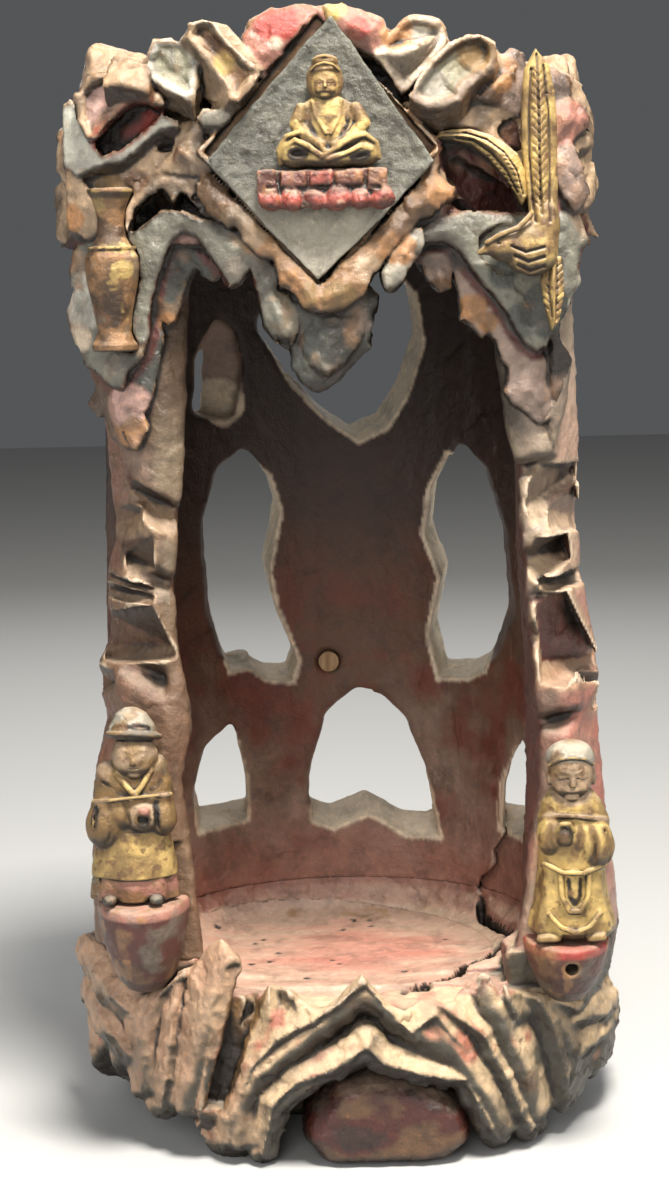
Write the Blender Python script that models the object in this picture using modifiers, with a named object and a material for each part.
"""Rockwork altar shrine in carved, lacquered wood: an empty grotto niche with a small seated
buddha on a diamond plaque in its canopy, a vase, a bird and two attendants on brackets.

The frame has its origin in the middle of the resting face, +X to the object's left hand side
(a viewer's right), +Y to the back and +Z up. Lists of places below are in millimetres.
"""

import math

import bmesh
import bpy
from mathutils import Matrix, Vector

MM = 0.001

# Driving dimensions, in millimetres
HEIGHT = 330.0
GAP = 0.4  # what glued pieces keep between them
BASE_A, BASE_B = 80.0, 66.0  # half axes of the plinth, across and front to back
LOG_A, LOG_B = 75.0, 61.0  # half axes of the shaft of the niche
NICHE_A, NICHE_B = 57.0, 47.0  # half axes of its hollow
FLOOR_X, FLOOR_Y = -5.0, -3.0
FLOOR_A, FLOOR_B = 50.5, 46.0
FLOOR_Z, FLOOR_THICK = 47.0, 8.0
SHOULDER_Z = 58.0  # where pillars and wall stand on the plinth
PILLAR_TOP_Z = 262.0
WALL_TOP_Z = 288.0
PILLAR_FRONT_Y, PILLAR_BACK_Y = -47.0, 5.0
PLAQUE_BACK_Y, PLAQUE_THICK = -62.0, 4.6
PLAQUE_MIDDLE = (-2.5, 289.0)
VASE_X, VASE_BACK_Y = -61.0, -54.6
BIRD_BACK_Y = -58.4
RELIEF_BACK_Y = PLAQUE_BACK_Y - PLAQUE_THICK - GAP  # back of the buddha and the throne
SEAT_Z = 285.0
PIECE_VOXEL = 1.1

# Colours of the lacquers, as (red, green, blue), roughness, metallic
COLOURS = {
    "rock": ((0.30, 0.24, 0.17), 0.62, 0.0),
    "red": ((0.36, 0.10, 0.08), 0.55, 0.0),
    "wall": ((0.20, 0.10, 0.085), 0.60, 0.0),
    "grey": ((0.17, 0.18, 0.16), 0.45, 0.0),
    "gold": ((0.62, 0.43, 0.10), 0.38, 0.35),
    "wood": ((0.45, 0.32, 0.18), 0.70, 0.0),
}


# ---------------------------------------------------------------- scene and materials
def clear_scene():
    for obj in list(bpy.data.objects):
        bpy.data.objects.remove(obj)


def collection(name):
    made = bpy.data.collections.new(name)
    bpy.context.scene.collection.children.link(made)
    return made


def make_materials():
    made = {}
    for name, (colour, roughness, metallic) in COLOURS.items():
        material = bpy.data.materials.new(name)
        material.use_nodes = True
        shader = material.node_tree.nodes["Principled BSDF"]
        shader.inputs["Base Color"].default_value = (*colour, 1.0)
        shader.inputs["Roughness"].default_value = roughness
        shader.inputs["Metallic"].default_value = metallic
        made[name] = material
    return made


clear_scene()
SHRINE = collection("altar_shrine")
CUTTERS = collection("cutters")
MATERIALS = make_materials()
WAITING = []


def link(name, mesh, where, material=None):
    obj = bpy.data.objects.new(name, mesh)
    where.objects.link(obj)
    if material:
        mesh.materials.append(MATERIALS[material])
    return obj


def as_mesh(obj):
    """Replaces an object's mesh by the one its modifiers make."""
    bpy.context.view_layer.update()
    graph = bpy.context.evaluated_depsgraph_get()
    mesh = bpy.data.meshes.new_from_object(obj.evaluated_get(graph))
    obj.modifiers.clear()
    obj.data = mesh
    return obj


# ---------------------------------------------------------------- shapes, all as bmesh
def hull(points):
    """The convex block round these points."""
    shape = bmesh.new()
    for point in points:
        shape.verts.new(Vector(point) * MM)
    made = bmesh.ops.convex_hull(shape, input=shape.verts)
    inside = [v for v in made["geom_interior"] if isinstance(v, bmesh.types.BMVert)]
    bmesh.ops.delete(shape, geom=inside, context="VERTS")
    bmesh.ops.recalc_face_normals(shape, faces=shape.faces)
    return shape


def chain(sections):
    """A carved run: a hull between each section and the next."""
    return [hull(list(a) + list(b)) for a, b in zip(sections, sections[1:])]


def ball(centre, radii, tilt=0.0, segments=20, rings=12):
    """An ellipsoid, turned by tilt degrees about Y."""
    shape = bmesh.new()
    bmesh.ops.create_uvsphere(shape, u_segments=segments, v_segments=rings, radius=MM)
    turn = Matrix.Rotation(math.radians(tilt), 4, "Y")
    size = Matrix.Diagonal((*radii, 1.0))
    shape.transform(Matrix.Translation(Vector(centre) * MM) @ turn @ size)
    return shape


def rod(start, end, r_start, r_end, segments=16):
    """A round bar or cone between two points."""
    a, b = Vector(start) * MM, Vector(end) * MM
    shape = bmesh.new()
    bmesh.ops.create_cone(
        shape,
        cap_ends=True,
        segments=segments,
        radius1=r_start * MM,
        radius2=r_end * MM,
        depth=(b - a).length,
    )
    turn = (b - a).to_track_quat("Z", "Y").to_matrix().to_4x4()
    shape.transform(Matrix.Translation((a + b) / 2) @ turn)
    return shape


def oval(a, b, z, count=28, centre_y=0.0):
    """Points round an ellipse at height z."""
    turns = [2 * math.pi * i / count for i in range(count)]
    return [(a * math.cos(t), centre_y + b * math.sin(t), z) for t in turns]


def prism(outline, y_front, y_back):
    """A flat outline of (x, z) points, which may be hollow-sided, pulled from y_front to y_back."""
    shape = bmesh.new()
    verts = [shape.verts.new(Vector((x, y_front, z)) * MM) for x, z in outline]
    face = shape.faces.new(verts)
    pulled = bmesh.ops.extrude_face_region(shape, geom=[face])["geom"]
    moved = [v for v in pulled if isinstance(v, bmesh.types.BMVert)]
    bmesh.ops.translate(shape, verts=moved, vec=(0, (y_back - y_front) * MM, 0))
    bmesh.ops.recalc_face_normals(shape, faces=shape.faces)
    return shape


def box(low, high):
    corners = [
        (x, y, z)
        for x in (low[0], high[0]) for y in (low[1], high[1]) for z in (low[2], high[2])
    ]
    return hull(corners)


def joined(shapes):
    """One mesh that holds all these shapes."""
    whole = bmesh.new()
    for shape in shapes:
        mesh = bpy.data.meshes.new("piece")
        shape.to_mesh(mesh)
        shape.free()
        whole.from_mesh(mesh)
        bpy.data.meshes.remove(mesh)
    mesh = bpy.data.meshes.new("carving")
    whole.to_mesh(mesh)
    whole.free()
    return mesh


def carving(name, material, shapes, triangles, voxel=PIECE_VOXEL):
    """Fuses overlapping shapes into one body and thins it to about this many triangles."""
    obj = link(name, joined(shapes), SHRINE, material)
    fuse = obj.modifiers.new("fuse", "REMESH")
    fuse.mode = "VOXEL"
    fuse.voxel_size = voxel * MM
    as_mesh(obj)
    thin = obj.modifiers.new("thin", "DECIMATE")
    thin.ratio = min(1.0, triangles / (2 * len(obj.data.polygons)))
    as_mesh(obj)
    return obj


def plain(name, material, shape):
    """A piece that is a single shape already."""
    return link(name, joined([shape]), SHRINE, material)


def cut(obj, shapes):
    """Takes these shapes out of a piece."""
    group = bpy.data.collections.new("cut_" + obj.name)
    CUTTERS.children.link(group)
    for i, shape in enumerate(shapes):
        cutter = link(f"cutter_{obj.name}_{i}", joined([shape]), group)
        cutter.hide_render = True
        cutter.display_type = "WIRE"
    WAITING.append((obj, group))


def finish_cuts():
    """Sets every cut going at the end, so each is worked out once."""
    for obj, group in WAITING:
        modifier = obj.modifiers.new("joints", "BOOLEAN")
        modifier.operation = "DIFFERENCE"
        modifier.solver = "EXACT"
        modifier.operand_type = "COLLECTION"
        modifier.collection = group


# ---------------------------------------------------------------- the canopy's curved face
def face_y(x):
    """Depth of the canopy's nominal face at x: nearly flat in front, falling away at the corners."""
    return -60.0 + 17.0 * (abs(x) / 75.0) ** 2.6


def on_face(x, z, proud):
    return (x, face_y(x) - proud, z)


def slab(points, back=-13.0):
    """A carved leaf on the canopy's face from (x, z, proud) points, rooted in the wood behind."""
    front = [on_face(*p) for p in points]
    xs, zs = [p[0] for p in points], [p[1] for p in points]
    cx, cz = sum(xs) / len(xs), sum(zs) / len(zs)
    root = [on_face(cx + 0.8 * (x - cx), cz + 0.8 * (z - cz), back) for x, z in zip(xs, zs)]
    return hull(front + root)


def run(upper, lower, back=-12.0):
    """A band on the canopy's face between two edges of (x, z, proud) points."""
    sections = []
    for a, b in zip(upper, lower):
        deep = [(a[0], a[1], back), (b[0], b[1], back)]
        sections.append([on_face(*p) for p in (a, b, *deep)])
    return chain(sections)


# Rock leaves round the plaque, each as (x, z, proud) points
LEAVES = {
    "red_left": [
        (-70, 306, 2), (-60, 310, 5), (-46, 307, 5), (-44, 303, 4), (-67, 290, 14), (-70, 297, 9),
        (-60, 288, 4),
    ],
    "grey_left": [
        (-78, 300, -4), (-77, 285, 7), (-70, 280, 9), (-62, 283, 11), (-44, 297, 7), (-43, 300, 4),
        (-52, 303, 1), (-66, 277, 1),
    ],
    "tan_left": [
        (-62, 312, 6), (-60, 318, 2), (-50, 317, 2), (-48, 310, 6), (-57, 306, 11), (-62, 308, 8),
    ],
    "green_left": [
        (-49, 314, 6), (-48, 322, 1), (-40, 321, 2), (-35, 315, 4), (-34, 304, 6), (-40, 304, 9),
        (-49, 309, 8),
    ],
    "gold_left": [
        (-38, 322, 5), (-36, 326, 3), (-31, 326, 3), (-18, 311, 3), (-20, 304, 5), (-26, 303, 10),
        (-35, 314, 8), (-33, 319, 10),
    ],
    "small_left": [(-36, 303, 3), (-24, 301, 2), (-28, 289, 3), (-36, 294, 7), (-35, 299, 7)],
    "red_top": [
        (-24, 317, 1), (-23, 325, 3), (-14, 329, 2), (-2, 330, 1), (-2, 318, 2), (-17, 312, 2),
        (-16, 322, 4),
    ],
    "red_top_right": [
        (-2, 330, 1), (8, 329, 2), (15, 326, 2), (17, 319, 2), (12, 314, 2), (0, 318, 2), (10, 321, 4),
    ],
    "tan_right": [
        (13, 315, 3), (19, 324, 4), (23, 326, 3), (31, 325, 2), (34, 318, 4), (29, 311, 5),
        (20, 309, 4), (24, 316, 10),
    ],
    "green_right": [
        (21, 308, 3), (31, 315, 3), (42, 322, 2), (47, 319, 2), (46, 314, 5), (38, 304, 8),
        (27, 303, 6), (23, 304, 5),
    ],
    "tan_far_right": [
        (31, 298, 2), (42, 311, 3), (50, 318, 1), (54, 316, 2), (55, 300, 4), (44, 295, 7),
        (34, 294, 4),
    ],
    "pink_right": [(34, 293, 4), (44, 296, 6), (51, 290, 6), (51, 282, 2), (38, 286, 3)],
    "edge_right_a": [
        (58, 313, 1), (66, 312, 0), (72, 308, -3), (72, 301, 3), (64, 297, 5), (58, 302, 3),
    ],
    "edge_right_b": [
        (64, 303, 1), (73, 305, -3), (76, 298, -6), (74, 290, 2), (66, 288, 6), (62, 295, 3),
    ],
    "edge_right_c": [
        (62, 291, 2), (74, 291, -4), (77, 281, -8), (75, 275, 0), (67, 270, 6), (62, 280, 4),
    ],
    "pale_right": [
        (64, 272, 0), (73, 275, -5), (78, 265, -9), (75, 252, -5), (69, 244, -1), (63, 250, 1),
    ],
    "block_left": [
        (-79, 285, -4), (-79, 268, -3), (-70, 262, 3), (-66, 268, 5), (-64, 282, 5), (-72, 284, 3),
    ],
    "pale_left": [
        (-70, 268, 0), (-78, 267, -8), (-79, 252, -8), (-76, 243, -5), (-70, 234, -2), (-64, 240, 1),
    ],
}


def canopy_shapes():
    crown = [oval(69, 57, 258), oval(70, 58, 300), oval(61, 50, 317)]
    shapes = [hull(sum(crown, []))]
    shapes += [slab(points) for points in LEAVES.values()]
    # tongue in the middle, hanging to a point
    shapes.append(
        slab(
            [
                (-38, 268, 2), (26, 268, 2), (19, 250, 3), (9, 234, 4), (-2, 225, 5), (-11, 231, 4),
                (-28, 250, 3),
            ],
            -9,
        )
    )
    shapes.append(slab([(-26, 258, 4), (-13, 242, 6), (-12, 252, 3)], -6))
    shapes.append(slab([(13, 242, 6), (21, 256, 4), (10, 252, 3)], -6))
    # inner curtains, hanging low on both sides
    left_out = [(-77, 268, -5), (-76, 245, -5), (-72, 225, -3), (-65, 206, 0)]
    left_in = [(-38, 268, -2), (-45, 243, -1), (-48, 223, 1), (-55, 206, 1)]
    shapes += run(left_out, left_in, -11)
    right_out = [(75, 268, -7), (72, 246, -5), (66, 230, -2), (63, 214, 0)]
    right_in = [(29, 268, -2), (38, 242, -1), (47, 225, 1), (56, 212, 1)]
    shapes += run(right_out, right_in, -11)
    # outer curtains of grey rock over them, scalloped
    shapes += run(
        [
            (-76, 262, -3), (-72, 236, 1), (-63, 227, 5),
        ], [(-52, 262, 3), (-53, 246, 5), (-58, 229, 6)], -8
    )
    shapes += run(
        [(-56, 274, 0), (-47, 281, 0), (-40, 282, 1), (-33, 279, 2), (-24, 268, 3)],
        [(-54, 250, 5), (-46, 262, 5), (-41, 267, 5), (-34, 259, 5), (-27, 251, 5)],
        -8,
    )
    shapes += run(
        [(14, 268, 3), (24, 276, 2), (32, 276, 0), (42, 270, 0), (54, 262, 0), (64, 254, 1)],
        [(18, 257, 5), (24, 262, 5), (30, 264, 5), (40, 253, 5), (50, 238, 6), (58, 226, 5)],
        -8,
    )
    # teeth on the inner curtains
    shapes.append(slab([(-50, 262, 0), (-41, 254, 4), (-46, 244, 1), (-52, 248, 0)], -8))
    shapes.append(slab([(34, 256, 0), (30, 262, 2), (36, 246, 4), (42, 240, 3), (46, 246, 0)], -8))
    shapes.append(slab([(-52, 224, 1), (-47, 218, 4), (-53, 210, 4), (-58, 214, 1)], -8))
    shapes.append(slab([(50, 232, 1), (60, 226, 3), (54, 216, 5), (47, 224, 4)], -8))
    # brow ridges over the two hollows
    shapes += run(
        [(-66, 284, 4), (-56, 288, 4), (-49, 291, 3), (-36, 293, 3)],
        [(-66, 279, 7), (-55, 282, 8), (-48, 285, 9), (-38, 284, 8)],
        -8,
    )
    shapes += run(
        [(28, 296, 3), (36, 296, 4), (52, 286, 3)], [(30, 288, 7), (37, 290, 8), (52, 277, 5)], -8,
    )
    # the V-shaped band under the plaque: two arms, each a row of knuckles
    shapes += run(
        [(-38, 291, 4), (-27, 277, 4), (-16, 265, 4), (-4, 252, 4)],
        [(-40, 281, 7), (-29, 267, 8), (-18, 253, 8), (-3, 238, 9)],
        -8,
    )
    shapes += run(
        [(-4, 252, 4), (8, 264, 4), (20, 277, 4), (30, 290, 4)],
        [(-3, 238, 9), (11, 250, 8), (22, 264, 8), (33, 278, 7)],
        -8,
    )
    knuckles = [(-32, 270), (-20, 256), (-9, 244), (6, 244), (16, 257), (27, 272)]
    shapes += [
        slab([(x - 4, z, 6), (x + 4, z, 6), (x, z - 4, 9), (x, z + 4, 6), (x, z, 10)], 0)
        for x, z in knuckles
    ]
    shapes += side_leaves()
    return shapes


SIDE_ROWS = [
    # y, z of the tip, half width, length up the log
    (-30, 270, 12, 28),
    (-8, 266, 13, 30),
    (14, 268, 13, 28),
    (34, 274, 12, 24),
    (-22, 296, 12, 26),
    (2, 290, 13, 28),
    (26, 294, 12, 24),
]


def side_leaves():
    """Leaves that hang round the flanks of the crown, the same on both sides but for their length."""
    made = []
    for side in (-1, 1):
        for i, (y, z, half, length) in enumerate(SIDE_ROWS):
            t = math.asin(max(-0.98, min(0.98, y / 64.0)))
            out = 77.0 * math.cos(t)
            tip_z = z + (3 if (i % 2 == 0) == (side < 0) else -3)
            made.append(
                hull(
                    [
                        (side * (out + 2), y, tip_z + 6),
                        (side * (out - 3), y + 2, tip_z),
                        (side * (out - 6), y - half, tip_z + 13),
                        (side * (out - 7), y + half, tip_z + 15),
                        (side * (out - 4), y - half * 0.5, tip_z + length),
                        (side * (out - 6), y + half * 0.6, tip_z + length),
                        (side * (out - 22), y - half * 0.4, tip_z + 8),
                        (side * (out - 22), y + half * 0.4, tip_z + length - 4),
                    ]
                )
            )
    return made


# ---------------------------------------------------------------- outlines of the pierced wall
WINDOWS = {
    "upper": [
        (-25, 241), (-18, 229), (-8, 218), (3, 210), (12, 214), (19, 225), (24, 240), (22, 256),
        (12, 268), (-4, 270), (-18, 262),
    ],
    "tall_left": [
        (-30, 203), (-39, 196), (-44, 179), (-43, 152), (-39, 135), (-33, 136), (-27, 131), (-19, 130),
        (-17, 136), (-24, 155), (-26, 166), (-22, 186), (-25, 197),
    ],
    "tall_right": [
        (40, 204), (34, 192), (32, 178), (37, 164), (33, 145), (36, 131), (45, 132), (50, 135),
        (55, 151), (53, 177), (48, 195),
    ],
    "low_middle": [
        (5, 122), (-5, 114), (-11, 95), (-12, 84), (-5, 81), (7, 86), (19, 79), (30, 79), (27, 96),
        (21, 112), (13, 120),
    ],
    "low_left": [(-36, 114), (-45, 106), (-49, 92), (-48, 84), (-33, 85), (-33, 98)],
    "low_right": [(58, 113), (54, 100), (53, 84), (66, 85), (65, 102)],
}
PLUG = (-4.0, 131.0, 3.3)  # x, z and radius
UPPER_RECESS = [(-38, 245), (-45, 232), (-46, 214), (-33, 212), (-30, 228), (-32, 240)]


def wall_shape():
    levels = [(SHOULDER_Z, 0), (140, -1), (200, -2.5), (WALL_TOP_Z, -6)]
    return hull(sum([oval(LOG_A + grow, LOG_B + grow, z) for z, grow in levels], []))


def niche_hollow(a, b, z_low, z_high):
    """The hollow as a cutter, domed at the top."""
    dome = [
        oval(a * math.cos(t), b * math.cos(t), z_high - 14 + 14 * math.sin(t))
        for t in (0.0, 0.5, 0.95, 1.25)
    ]
    return hull(oval(a, b, z_low) + sum(dome, []))


# ---------------------------------------------------------------- pillars
# (z, outer x, front inner x, inner back x) of each pillar, as distances from the middle
PILLAR_LEFT = [
    (58, 77, 42, 55), (85, 77, 44, 56), (112, 75, 47, 57), (128, 71, 43, 55), (141, 74, 45, 55),
    (152, 69, 47, 56), (170, 70, 47, 57), (182, 66, 46, 57), (208, 68, 43, 56), (262, 70, 40, 55),
]
PILLAR_RIGHT = [
    (58, 83, 50, 57), (76, 82.5, 53, 58), (86, 80, 54, 58), (105, 79, 58, 59), (124, 77, 58, 59),
    (135, 79, 57, 59), (156, 75, 55, 58), (172, 72, 54, 57), (200, 72, 52, 57), (215, 72, 48, 56),
    (262, 70, 42, 55),
]
# V-cuts of the gouge in the pillars' faces: (x, z) of the two ends, width, lean of the floor of the cut
GOUGES_LEFT = [
    ((-65, 198), (-42, 188), 10), ((-74, 187), (-56, 181), 11), ((-64, 176), (-46, 168), 11),
    ((-74, 168), (-55, 160), 8), ((-74, 150), (-50, 141), 16), ((-72, 128), (-56, 122), 9),
]
GOUGES_RIGHT = [
    ((52, 200), (70, 204), 9), ((57, 188), (76, 181), 11), ((50, 174), (68, 176), 11),
    ((56, 164), (76, 161), 8), ((55, 152), (78, 141), 17), ((58, 126), (76, 130), 9),
]


def pillar_shapes(side, rows):
    sections = []
    for z, outer, inner, back in rows:
        sections.append(
            [
                (side * inner, PILLAR_FRONT_Y + 4, z),
                (side * (inner + 7), PILLAR_FRONT_Y, z),
                (side * (outer - 9), PILLAR_FRONT_Y + 5, z),
                (side * (outer - 1), PILLAR_FRONT_Y + 20, z),
                (side * outer, PILLAR_BACK_Y, z),
                (side * back, PILLAR_BACK_Y, z),
                (side * (back - 4), PILLAR_FRONT_Y + 24, z),
            ]
        )
    return chain(sections)


def gouge(start, end, width):
    """A V-cut across a pillar's face, deepest at its lower edge."""
    (xa, za), (xb, zb) = start, end
    near, floor = PILLAR_FRONT_Y - 6, PILLAR_FRONT_Y + 11
    return hull(
        [
            (xa, near, za + width * 0.6), (xb, near, zb + width * 0.6), (xa, near, za - width * 0.7),
            (xb, near, zb - width * 0.7), (xa, floor, za), (xb, floor - 2, zb),
        ]
    )


# ---------------------------------------------------------------- plinth
def plinth_y(x):
    """Depth of the plinth's nominal front at x."""
    return -BASE_B * math.sqrt(max(0.0, 1 - (x / (BASE_A + 6)) ** 2))


def on_plinth(x, z, proud):
    return (x, plinth_y(x) - proud, z)


def crag(crest, half_width, root=11.0):
    """A rock rib on the plinth's front: crest is a run of (x, z, proud), with flanks set back."""
    sections = []
    for i, (x, z, proud) in enumerate(crest):
        ahead = crest[min(i + 1, len(crest) - 1)]
        behind = crest[max(i - 1, 0)]
        along = Vector((ahead[0] - behind[0], ahead[1] - behind[1])).normalized()
        nx, nz = -along.y * half_width, along.x * half_width
        flanks = [on_plinth(x + nx, z + nz, proud - 6), on_plinth(x - nx, z - nz, proud - 6)]
        roots = [
            on_plinth(x + nx, z + nz, proud - root - 6), on_plinth(x - nx, z - nz, proud - root - 6),
        ]
        sections.append([on_plinth(x, z, proud), *flanks, *roots])
    return chain(sections)


CRAGS = [
    # left cluster
    ([(-33, 68, 3), (-38, 54, 6), (-44, 36, 6), (-50, 14, 3)], 8),
    ([(-50, 60, 1), (-57, 48, 4), (-61, 36, 5), (-60, 17, 1)], 6),
    ([(-27, 58, -1), (-29, 46, 0), (-32, 30, -2)], 5),
    # right cluster
    ([(23, 49, 2), (29, 38, 4), (38, 24, 5), (46, 6, 3)], 6),
    ([(39, 58, 0), (43, 46, 4), (50, 30, 5), (56, 8, 2)], 7),
    ([(54, 52, -1), (60, 42, 3), (66, 28, 4), (67, 12, 0)], 6),
    ([(70, 46, -3), (76, 36, 0), (80, 26, 0), (76, 14, -3)], 6),
    # arch, outer rib then inner rib
    ([(-34, 4, 1), (-33, 18, 3), (-26, 30, 4), (-12, 41, 4), (5, 54, 4), (17, 43, 4), (30, 33, 3)], 6),
    (
        [
            (-27, 5, 1), (-25, 14, 2), (-16, 24, 3), (-5, 31, 3), (5, 36, 4), (16, 32, 3), (28, 27, 3),
            (38, 22, 2),
        ],
        4,
    ),
]

FLANK_ROCKS = [
    # angle round the plinth in degrees (0 is +X, 90 is the back), low z, high z, half width in degrees
    (-28, 10, 62, 12), (-6, 3, 60, 13), (18, 6, 66, 12), (42, 3, 58, 13), (66, 5, 62, 12), (90, 3, 58, 13),
    (114, 6, 63, 12), (138, 3, 58, 13), (162, 5, 64, 12), (186, 6, 58, 13), (207, 14, 56, 11),
]


def flank_rock(angle, low, high, half):
    """A rib on the side or back of the plinth, with a crest that leans."""
    mid = (low + high) / 2
    places = (
        # turn from the rib's own angle, z, how far out
        (-half, mid - 6, -3),
        (-half * 0.8, mid + 12, -2),
        (-3, low, -4),
        (2, low + 7, 2),
        (half, mid - 4, -3),
        (half * 0.8, mid + 10, -2),
        (-4, high, -1),
        (1, high - 9, 3),
        (4, high - 2, 0),
    )
    made = []
    for turn, z, out in places:
        t = math.radians(angle + turn)
        made.append(((BASE_A + out) * math.cos(t), (BASE_B + out) * math.sin(t), z))
    t = math.radians(angle)
    made += [((BASE_A - 16) * math.cos(t), (BASE_B - 16) * math.sin(t), z) for z in (low + 8, high - 8)]
    return hull(made)


def base_shapes():
    core = [
        oval(BASE_A - 18, 38, 0, centre_y=15),
        oval(BASE_A - 6, BASE_B - 13, 10, centre_y=4),
        oval(BASE_A - 2, BASE_B - 6, 24),
        oval(BASE_A - 2, BASE_B - 5, 46),
        oval(BASE_A - 4, BASE_B - 7, 57.5),
    ]
    shapes = chain(core)
    for crest, half in CRAGS:
        shapes += crag(crest, half)
    shapes += [flank_rock(*rock) for rock in FLANK_ROCKS]
    return shapes


FOOT_OUTLINE = [
    (-8, 0), (12, 0), (29, 0.6), (35, 6), (34, 14), (27, 21), (18, 25), (6, 27), (-4, 24), (-12, 16),
    (-14.5, 8),
]
FOOT_MIDDLE = (10, 12)


def foot_shape():
    """The drum-shaped block glued up under the arch, rounded off to the front."""
    points = []
    for y, size in ((ARCH_BACK_Y - GAP, 1.0), (-52, 1.0), (-58, 0.97), (-62, 0.88), (-64, 0.72)):
        for x, z in FOOT_OUTLINE:
            grown = (
                FOOT_MIDDLE[0] + (x - FOOT_MIDDLE[0]) * size,
                FOOT_MIDDLE[1] + (z - FOOT_MIDDLE[1]) * size,
            )
            points.append((grown[0], y, grown[1]))
    return hull(points)


def dish():
    """The hollow over the floor: flat in the middle, then rising to meet the wall."""
    levels = [
        (40, 30, FLOOR_Z), (50, 41, FLOOR_Z + 2.2), (57.5, 47.5, SHOULDER_Z - GAP), (57.5, 47.5, 90),
    ]
    return hull(sum([oval(a, b, z, 40) for a, b, z in levels], []))


def floor_disc(grow, z_low, z_high):
    """The board's edge, or with grow the recess it drops into."""
    turns = [2 * math.pi * i / 40 for i in range(40)]
    edge = [
        (FLOOR_X + (FLOOR_A + grow) * math.cos(t), FLOOR_Y + (FLOOR_B + grow) * math.sin(t))
        for t in turns
    ]
    return hull([(x, y, z) for x, y in edge for z in (z_low, z_high)])


ARCH_BACK_Y = -20.0
ARCH_OPENING = [
    (-25, -2), (-22, 8), (-13, 18), (-4, 26), (6, 29), (18, 27), (29, 22), (37, 12), (38, -2),
]
WORM_HOLLOW = [(-36, 60), (-28, 61), (-26, 50), (-30, 34), (-36, 16), (-41, 14), (-40, 30), (-38, 46)]


# ---------------------------------------------------------------- figures
def diamond_outline(inset):
    """The plaque's outline, set in from its nominal edge by roughly this much."""
    cx, cz = PLAQUE_MIDDLE
    nominal = [(1, 327.4), (29.3, 287), (-4, 254.2), (-34.8, 288)]
    return [(cx + (x - cx) * (1 - inset / 33), cz + (z - cz) * (1 - inset / 36)) for x, z in nominal]


def buddha_shapes():
    y = RELIEF_BACK_Y
    shapes = [
        ball((-1.5, y - 2.5, 308.0), (4.4, 4.2, 5.6)),  # head
        ball((-1.5, y - 1.8, 312.6), (4.9, 3.6, 3.0)),  # headdress
        ball((-1.5, y - 1.2, 307.0), (5.6, 2.4, 6.0)),  # hood at the neck
        rod((-1.5, y - 1.5, 298), (-1.5, y - 1.5, 304), 4.0, 3.0),
        ball((-1.5, y - 1.5, 297.0), (8.6, 4.2, 7.4)),  # chest
        ball((-8.6, y - 1.5, 296.0), (3.6, 3.6, 6.4), 18),  # upper arms
        ball((5.8, y - 1.5, 296.0), (3.6, 3.6, 6.4), -18),
        ball((-9.6, y - 2.0, 289.4), (6.4, 4.6, 4.4), -24),  # knees
        ball((7.6, y - 2.0, 289.4), (6.4, 4.6, 4.4), 24),
        ball((-1.0, y - 1.8, 288.6), (11.0, 4.4, 3.4)),  # lap
        rod((-12, y - 4.2, 291), (0.0, y - 5.0, 286.6), 1.7, 1.6),  # shins
        rod((10, y - 4.2, 291), (-2.0, y - 5.0, 286.8), 1.7, 1.6),
    ]
    return shapes


def throne_shapes():
    y = RELIEF_BACK_Y
    shapes = [box((-17.5, y - 5.4, 275.0), (13.5, y + 3, 284.6))]
    shapes += [
        box((-18.6, y - 6.6, 277.5), (-13.0, y + 3, 284.8)),
        box((9.4, y - 6.6, 277.5), (14.6, y + 3, 284.8)),
    ]
    petals = [-16.5, -11.2, -5.8, -0.4, 5.0, 10.2, 14.2]
    shapes += [ball((x - 0.6, y - 4.4, 276.2), (3.2, 3.4, 2.8)) for x in petals[:-1]]
    return shapes


def attendant_shapes(x, feet_z, scale, cap):
    """A standing figure with its hands clasped in wide sleeves, its back against the pillar."""
    s = scale

    def at(dx, dy, dz):
        return (x + dx * s, FIGURE_BACK_Y - dy * s, feet_z + dz * s)

    shapes = [
        ball(at(0, 6.4, 49.5), (5.3 * s, 5.2 * s, 6.2 * s)),  # head
        rod(at(0, 6.0, 40), at(0, 6.0, 46), 3.6 * s, 3.0 * s),
        hull(
            [at(dx, dy, dz)
            for dx, dy, dz in (
                (-10, 1, 38), (10, 1, 38), (-9.5, 8, 37), (9.5, 8, 37), (-4, 3, 43.5), (4, 3, 43.5),
                (-4, 8.5, 43), (4, 8.5, 43), (-11.5, 1, 26), (11.5, 1, 26), (-10.5, 9, 25),
                (10.5, 9, 25),
            )]
        ),
        ball(at(-7.2, 8.2, 29), (5.4 * s, 5.0 * s, 7.0 * s), -14),  # sleeves
        ball(at(7.2, 8.2, 29), (5.4 * s, 5.0 * s, 7.0 * s), 14),
        ball(at(0, 11.8, 31), (3.8 * s, 3.0 * s, 4.0 * s)),  # hands
        hull(
            [at(dx, dy, dz)
            for dx, dy, dz in (
                (-9.5, 1, 27), (9.5, 1, 27), (-8.5, 9, 27), (8.5, 9, 27), (-11.2, 1, 4), (11.2, 1, 4),
                (-10, 10, 4), (10, 10, 4),
            )]
        ),
        hull(
            [at(dx, dy, dz)
            for dx, dy, dz in (
                (-9.5, 1, 5), (9.5, 1, 5), (-8.5, 8.5, 5), (8.5, 8.5, 5), (-10.5, 1, 0), (10.5, 1, 0),
                (-9.5, 9, 0), (9.5, 9, 0),
            )]
        ),
    ]
    if cap:
        shapes.append(
            hull(
                oval_at(
                    at(0, 6.4, 52.2), 7.2 * s, 7.0 * s,
                ) + oval_at(at(0, 6.2, 54.2), 6.4 * s, 6.0 * s)
            )
        )
        shapes.append(ball(at(-0.6, 6.0, 55.4), (4.6 * s, 4.6 * s, 3.6 * s)))
    else:
        shapes.append(ball(at(0, 6.0, 52.8), (5.0 * s, 5.0 * s, 3.4 * s)))
    return shapes


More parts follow.
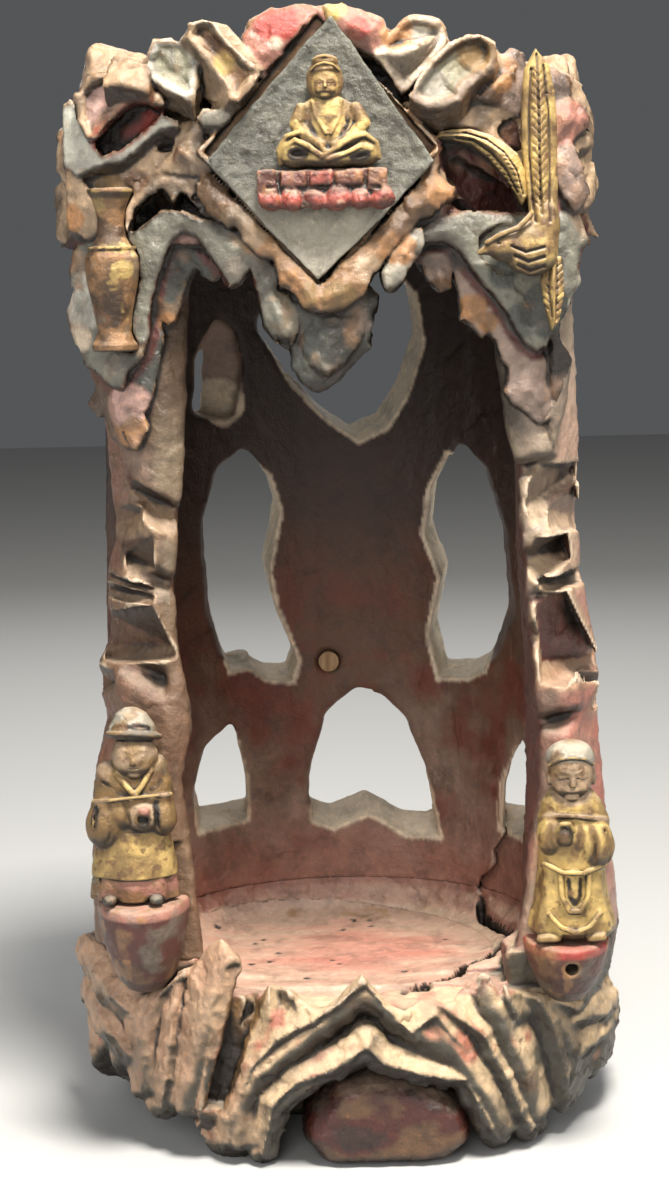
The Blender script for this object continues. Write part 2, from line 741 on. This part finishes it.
def oval_at(centre, a, b, count=20):
    turns = [2 * math.pi * i / count for i in range(count)]
    return [(centre[0] + a * math.cos(t), centre[1] + b * math.sin(t), centre[2]) for t in turns]


def bracket_shapes(x, top_z, half, low_z):
    """A half-round bracket that narrows to its foot, with a thin lip round the top."""
    return [
        hull(
            oval_at((x, FIGURE_BACK_Y - half * 0.52, top_z), half, half * 0.95) + oval_at(
                (x, FIGURE_BACK_Y - half * 0.52, top_z - 3), half * 0.99, half * 0.94,
            )
        ),
        hull(
            oval_at((x, FIGURE_BACK_Y - half * 0.5, top_z - 2), half * 0.95, half * 0.9) + oval_at(
                (x + 1, FIGURE_BACK_Y - half * 0.42, low_z), half * 0.62, half * 0.5,
            )
        ),
    ]


VASE_PROFILE = [
    # radius, height, from the lip down
    (0.0, 282), (5.2, 281.6), (6.1, 280.6), (4.6, 277), (3.7, 271), (4.0, 268.4), (6.4, 265), (7.6, 261),
    (7.3, 256), (5.6, 248), (4.5, 242), (5.6, 238.6), (6.1, 237), (0.0, 236.6),
]


def turned(profile, centre, steps=24):
    """A shape turned about a vertical axis at centre, from the axis down its outer side."""
    shape = bmesh.new()
    verts = [shape.verts.new((r * MM, 0, z * MM)) for r, z in profile]
    edges = [shape.edges.new(pair) for pair in zip(verts, verts[1:])]
    bmesh.ops.spin(
        shape,
        geom=verts + edges,
        cent=(0, 0, 0),
        axis=(0, 0, 1),
        angle=2 * math.pi,
        steps=steps,
        use_merge=True,
    )
    bmesh.ops.remove_doubles(shape, verts=shape.verts, dist=0.01 * MM)
    bmesh.ops.recalc_face_normals(shape, faces=shape.faces)
    shape.transform(Matrix.Translation((centre[0] * MM, centre[1] * MM, 0)))
    return shape


def bird_shapes():
    y = BIRD_BACK_Y
    shapes = [
        ball((54.5, y - 4.0, 268.5), (8.6, 6.4, 7.6), 10),  # breast
        hull(
            [
                (52, y - 7, 272), (52, y - 5, 261), (40.5, y - 2.5, 264), (44, y - 5, 269),
                (52, y, 274), (44, y, 262), (52, y, 259),
            ]
        ),  # head and beak
        ball((47.5, y - 3.5, 266.0), (5.4, 4.4, 4.6)),
    ]
    plumes = [(-3.4, 311), (-0.6, 317), (2.6, 313)]
    for dx, top in plumes:
        shapes.append(
            hull(
                [
                    (55.5 + dx * 0.5 - 2.2, y - 4, 272), (55.5 + dx * 0.5 + 2.2, y - 4, 272),
                    (56 + dx - 2.4, y - 2.4, top - 12), (56 + dx + 2.4, y - 2.4, top - 12),
                    (56 + dx, y - 1.5, top), (55.5 + dx, y - 5.0, 284), (55, y, 270),
                    (56 + dx, y, top - 6), (52, y, 276), (60, y, 276),
                ]
            )
        )
    return shapes


BIRD_SEAT = [
    (50, 320), (63, 320), (66, 262), (66, 234), (52, 234), (50, 258), (38, 258), (38, 272), (48, 280),
    (38, 285), (24, 288), (25, 297), (42, 297), (50, 292),
]


def upper_wing_shapes():
    y = BIRD_BACK_Y
    path = [
        (53, 276, 5.0, 5.0), (50, 282, 5.6, 5.5), (45, 287.5, 5.0, 5.0), (38, 291, 3.8, 4.2),
        (31, 292.5, 2.2, 3.0), (27, 292, 1.0, 2.0),
    ]
    sections = []
    for i, (x, z, half, proud) in enumerate(path):
        ahead, behind = path[min(i + 1, len(path) - 1)], path[max(i - 1, 0)]
        along = Vector((ahead[0] - behind[0], ahead[1] - behind[1])).normalized()
        nx, nz = -along.y * half, along.x * half
        sections.append(
            [
                (x + nx, y, z + nz), (x - nx, y, z - nz), (x + nx * 0.4, y - proud, z + nz * 0.4),
                (x - nx * 0.9, y - proud * 0.5, z - nz * 0.9),
            ]
        )
    return chain(sections)


def lower_wing_shapes():
    y = BIRD_BACK_Y
    path = [
        (58.5, 261.0, 5.0, 5.5), (58.8, 254, 5.4, 5.0), (59.6, 246, 4.0, 4.0), (60.4, 238, 1.0, 2.0),
    ]
    sections = []
    for x, z, half, proud in path:
        sections.append(
            [
                (x - half, y, z), (x + half, y, z), (x - half * 0.7, y - proud, z),
                (x + half * 0.8, y - proud * 0.7, z),
            ]
        )
    return chain(sections)


# ---------------------------------------------------------------- pegs
DOWEL = (2.0, 2.35)  # radius of the peg, radius of its hole
NAIL = (0.9, 1.25)

PEGS = {
    # name: (start, end, size, pieces that are bored for it)
    "dowel_pillar_left_foot": ((-64, -22, 50), (-64, -22, 68), DOWEL, ("base_block", "pillar_left")),
    "dowel_pillar_right_foot": ((68, -22, 50), (68, -22, 68), DOWEL, ("base_block", "pillar_right")),
    "dowel_pillar_left_head": ((-63, -18, 252), (-63, -18, 270), DOWEL, ("canopy", "pillar_left")),
    "dowel_pillar_right_head": ((63, -18, 252), (63, -18, 270), DOWEL, ("canopy", "pillar_right")),
    "dowel_wall_foot_left": ((-40, 43, 50), (-40, 43, 68), DOWEL, ("base_block", "back_wall")),
    "dowel_wall_foot_right": ((40, 43, 50), (40, 43, 68), DOWEL, ("base_block", "back_wall")),
    "dowel_wall_head": ((0, 52, 280), (0, 52, 296), DOWEL, ("canopy", "back_wall")),
    "dowel_foot_block": ((10, -28, 12), (10, -13, 12), DOWEL, ("foot_block", "base_block")),
    "peg_plaque": ((-2, -65, 281), (-2, -52, 281), NAIL, ("canopy", "plaque")),
    "peg_buddha": ((-1.5, -70, 298), (-1.5, -63.5, 298), NAIL, ("buddha_figure", "plaque")),
    "peg_throne": ((-6, -70, 280), (-6, -63.5, 280), NAIL, ("buddha_throne", "plaque")),
    "peg_vase": ((-61, -60, 258), (-61, -47, 258), NAIL, ("vase", "canopy")),
    "peg_bird": ((54.5, -63, 268), (54.5, -51, 268), NAIL, ("bird_body", "canopy")),
    "peg_attendant_left": ((-60, -53, 112), (-60, -40, 112), NAIL, ("attendant_left", "pillar_left")),
    "peg_attendant_right": ((65, -53, 100), (65, -40, 100), NAIL, ("attendant_right", "pillar_right")),
    "peg_bracket_left": ((-59, -53, 66), (-59, -40, 66), NAIL, ("bracket_left", "pillar_left")),
    "peg_bracket_right": ((64, -53, 62), (64, -40, 62), NAIL, ("bracket_right", "pillar_right")),
}


def bores(node):
    """The holes a piece has for its pegs, a little longer than the pegs."""
    made = []
    for start, end, (_, hole_r), nodes in PEGS.values():
        if node in nodes:
            a, b = Vector(start), Vector(end)
            along = (b - a).normalized() * GAP
            made.append(rod(a - along, b + along, hole_r, hole_r))
    return made


def make_pegs():
    for name, (start, end, (radius, _), _) in PEGS.items():
        plain(name, "wood", rod(start, end, radius, radius, 12))


# ---------------------------------------------------------------- cutters that are planes
FAR = 130.0  # beyond the object on every side


def above(z):
    return box((-FAR, -FAR, z), (FAR, FAR, HEIGHT + FAR))


def below(z):
    return box((-FAR, -FAR, -FAR), (FAR, FAR, z))


def behind(y):
    return box((-FAR, y, -FAR), (FAR, FAR, HEIGHT + FAR))


def in_front_of(y):
    return box((-FAR, -FAR, -FAR), (FAR, y, HEIGHT + FAR))


# ---------------------------------------------------------------- the pieces
BRACKETS = {
    # name: (x, height of its top, half width, height of its lowest point)
    "bracket_left": (-59, 79.0, 13.5, 52),
    "bracket_right": (64, 65.0, 12.5, 46),
}
ATTENDANTS = {
    # name: (x, height of the feet, scale, wears a cap)
    "attendant_left": (-60, 79.4, 0.96, True),
    "attendant_right": (65, 65.4, 1.04, False),
}
FIGURE_BACK_Y = PILLAR_FRONT_Y - GAP


def make_base():
    base = carving("base_block", "rock", base_shapes(), 2200)
    pockets = []
    for x, top, half, low in BRACKETS.values():
        pockets += bracket_shapes(x, top, half + 2 * GAP, low - 2 * GAP)
    cut(
        base,
        [
            dish(),
            floor_disc(GAP, FLOOR_Z - FLOOR_THICK - GAP, 90),
            box((-FAR, PILLAR_FRONT_Y - GAP, SHOULDER_Z - GAP), (FAR, FAR, FAR)),
            prism(ARCH_OPENING, -FAR, ARCH_BACK_Y),
            prism(WORM_HOLLOW, -90, -50),
            below(0.0),
            *pockets,
            *bores("base_block"),
        ],
    )
    foot = plain("foot_block", "red", foot_shape())
    cut(foot, bores("foot_block"))
    floor = plain("floor_board", "red", floor_disc(0, FLOOR_Z - FLOOR_THICK, FLOOR_Z + 6))
    cut(floor, [dish()])


def make_wall():
    wall = plain("back_wall", "wall", wall_shape())
    plug_x, plug_z, plug_r = PLUG
    windows = [prism(outline, 8, 100) for outline in WINDOWS.values()]
    cut(
        wall,
        [
            niche_hollow(NICHE_A, NICHE_B, 30, WALL_TOP_Z + 30),
            in_front_of(PILLAR_BACK_Y + GAP),
            above(WALL_TOP_Z - GAP),
            below(SHOULDER_Z + 0.1),
            prism(UPPER_RECESS, 0, 44),
            rod((plug_x, 40, plug_z), (plug_x, 70, plug_z), plug_r + GAP, plug_r + GAP, 20),
            *windows,
            *bores("back_wall"),
        ],
    )
    plain("wall_plug", "wood", rod((plug_x, 46.5, plug_z), (plug_x, 60.0, plug_z), plug_r, plug_r, 20))


def make_pillars():
    for name, side, rows, gouges in (
        ("pillar_left", -1, PILLAR_LEFT, GOUGES_LEFT),
        ("pillar_right", 1, PILLAR_RIGHT, GOUGES_RIGHT),
    ):
        pillar = carving(name, "rock", pillar_shapes(side, rows), 620)
        limits = [
            below(SHOULDER_Z + 0.1),
            above(PILLAR_TOP_Z - GAP),
            behind(PILLAR_BACK_Y),
            in_front_of(PILLAR_FRONT_Y),
        ]
        cut(pillar, limits + [gouge(*g) for g in gouges] + bores(name))


def make_canopy():
    canopy = carving("canopy", "grey", canopy_shapes(), 3700)
    cut(
        canopy,
        [
            niche_hollow(NICHE_A, NICHE_B, 150, WALL_TOP_Z),
            box((-FAR, PILLAR_BACK_Y, 150), (FAR, FAR, WALL_TOP_Z)),
            box((-73, PILLAR_FRONT_Y - GAP, 150), (73, PILLAR_BACK_Y + 1, PILLAR_TOP_Z)),
            prism(diamond_outline(-0.2), -FAR, PLAQUE_BACK_Y + GAP),
            box((-71, -FAR, 235), (-51, VASE_BACK_Y + GAP, 284)),
            prism(BIRD_SEAT, -FAR, BIRD_BACK_Y + GAP),
            *bores("canopy"),
        ],
    )


def make_plaque():
    front = PLAQUE_BACK_Y - PLAQUE_THICK
    slab_points = [(x, y, z) for x, z in diamond_outline(0.8) for y in (PLAQUE_BACK_Y, front + 1.2)]
    face_points = [(x, front, z) for x, z in diamond_outline(2.2)]
    plaque = plain("plaque", "grey", hull(slab_points + face_points))
    cut(plaque, bores("plaque"))

    throne = carving("buddha_throne", "red", throne_shapes(), 420, 0.5)
    cut(throne, [behind(RELIEF_BACK_Y), above(SEAT_Z), *bores("buddha_throne")])
    buddha = carving("buddha_figure", "gold", buddha_shapes(), 1000, 0.5)
    cut(buddha, [behind(RELIEF_BACK_Y), below(SEAT_Z + GAP), *bores("buddha_figure")])


def make_vase():
    vase = carving("vase", "gold", [turned(VASE_PROFILE, (VASE_X, VASE_BACK_Y - 2.4))], 480, 0.6)
    cut(vase, [behind(VASE_BACK_Y), *bores("vase")])


def make_bird():
    back = behind(BIRD_BACK_Y)
    body = carving("bird_body", "gold", bird_shapes(), 640, 0.6)
    above_seam = prism([(51, 300), (51, 277), (54, 274.5), (50, 272), (20, 272), (20, 300)], -110, -40)
    cut(body, [back, above_seam, box((48, -110, 230), (70, -40, 261.4)), *bores("bird_body")])

    upper = carving("bird_wing_upper", "gold", upper_wing_shapes(), 260, 0.6)
    below_seam = prism(
        [
            (50.6, 320), (50.6, 277.2), (53.2, 274.6), (49.8, 272.5), (20, 272.5), (20, 240),
            (90, 240), (90, 320),
        ],
        -110,
        -40,
    )
    cut(upper, [behind(BIRD_BACK_Y), below_seam])

    lower = carving("bird_wing_lower", "gold", lower_wing_shapes(), 220, 0.6)
    cut(lower, [behind(BIRD_BACK_Y), above(261.0)])


def make_attendants():
    for name, (x, feet_z, scale, cap) in ATTENDANTS.items():
        figure = carving(name, "gold", attendant_shapes(x, feet_z, scale, cap), 900, 0.7)
        cut(figure, [behind(FIGURE_BACK_Y), below(feet_z), *bores(name)])
    for name, place in BRACKETS.items():
        bracket = carving(name, "red", bracket_shapes(*place), 280, 0.8)
        cut(bracket, [behind(FIGURE_BACK_Y), *bores(name)])


make_base()
make_wall()
make_pillars()
make_canopy()
make_plaque()
make_vase()
make_bird()
make_attendants()
make_pegs()
finish_cuts()
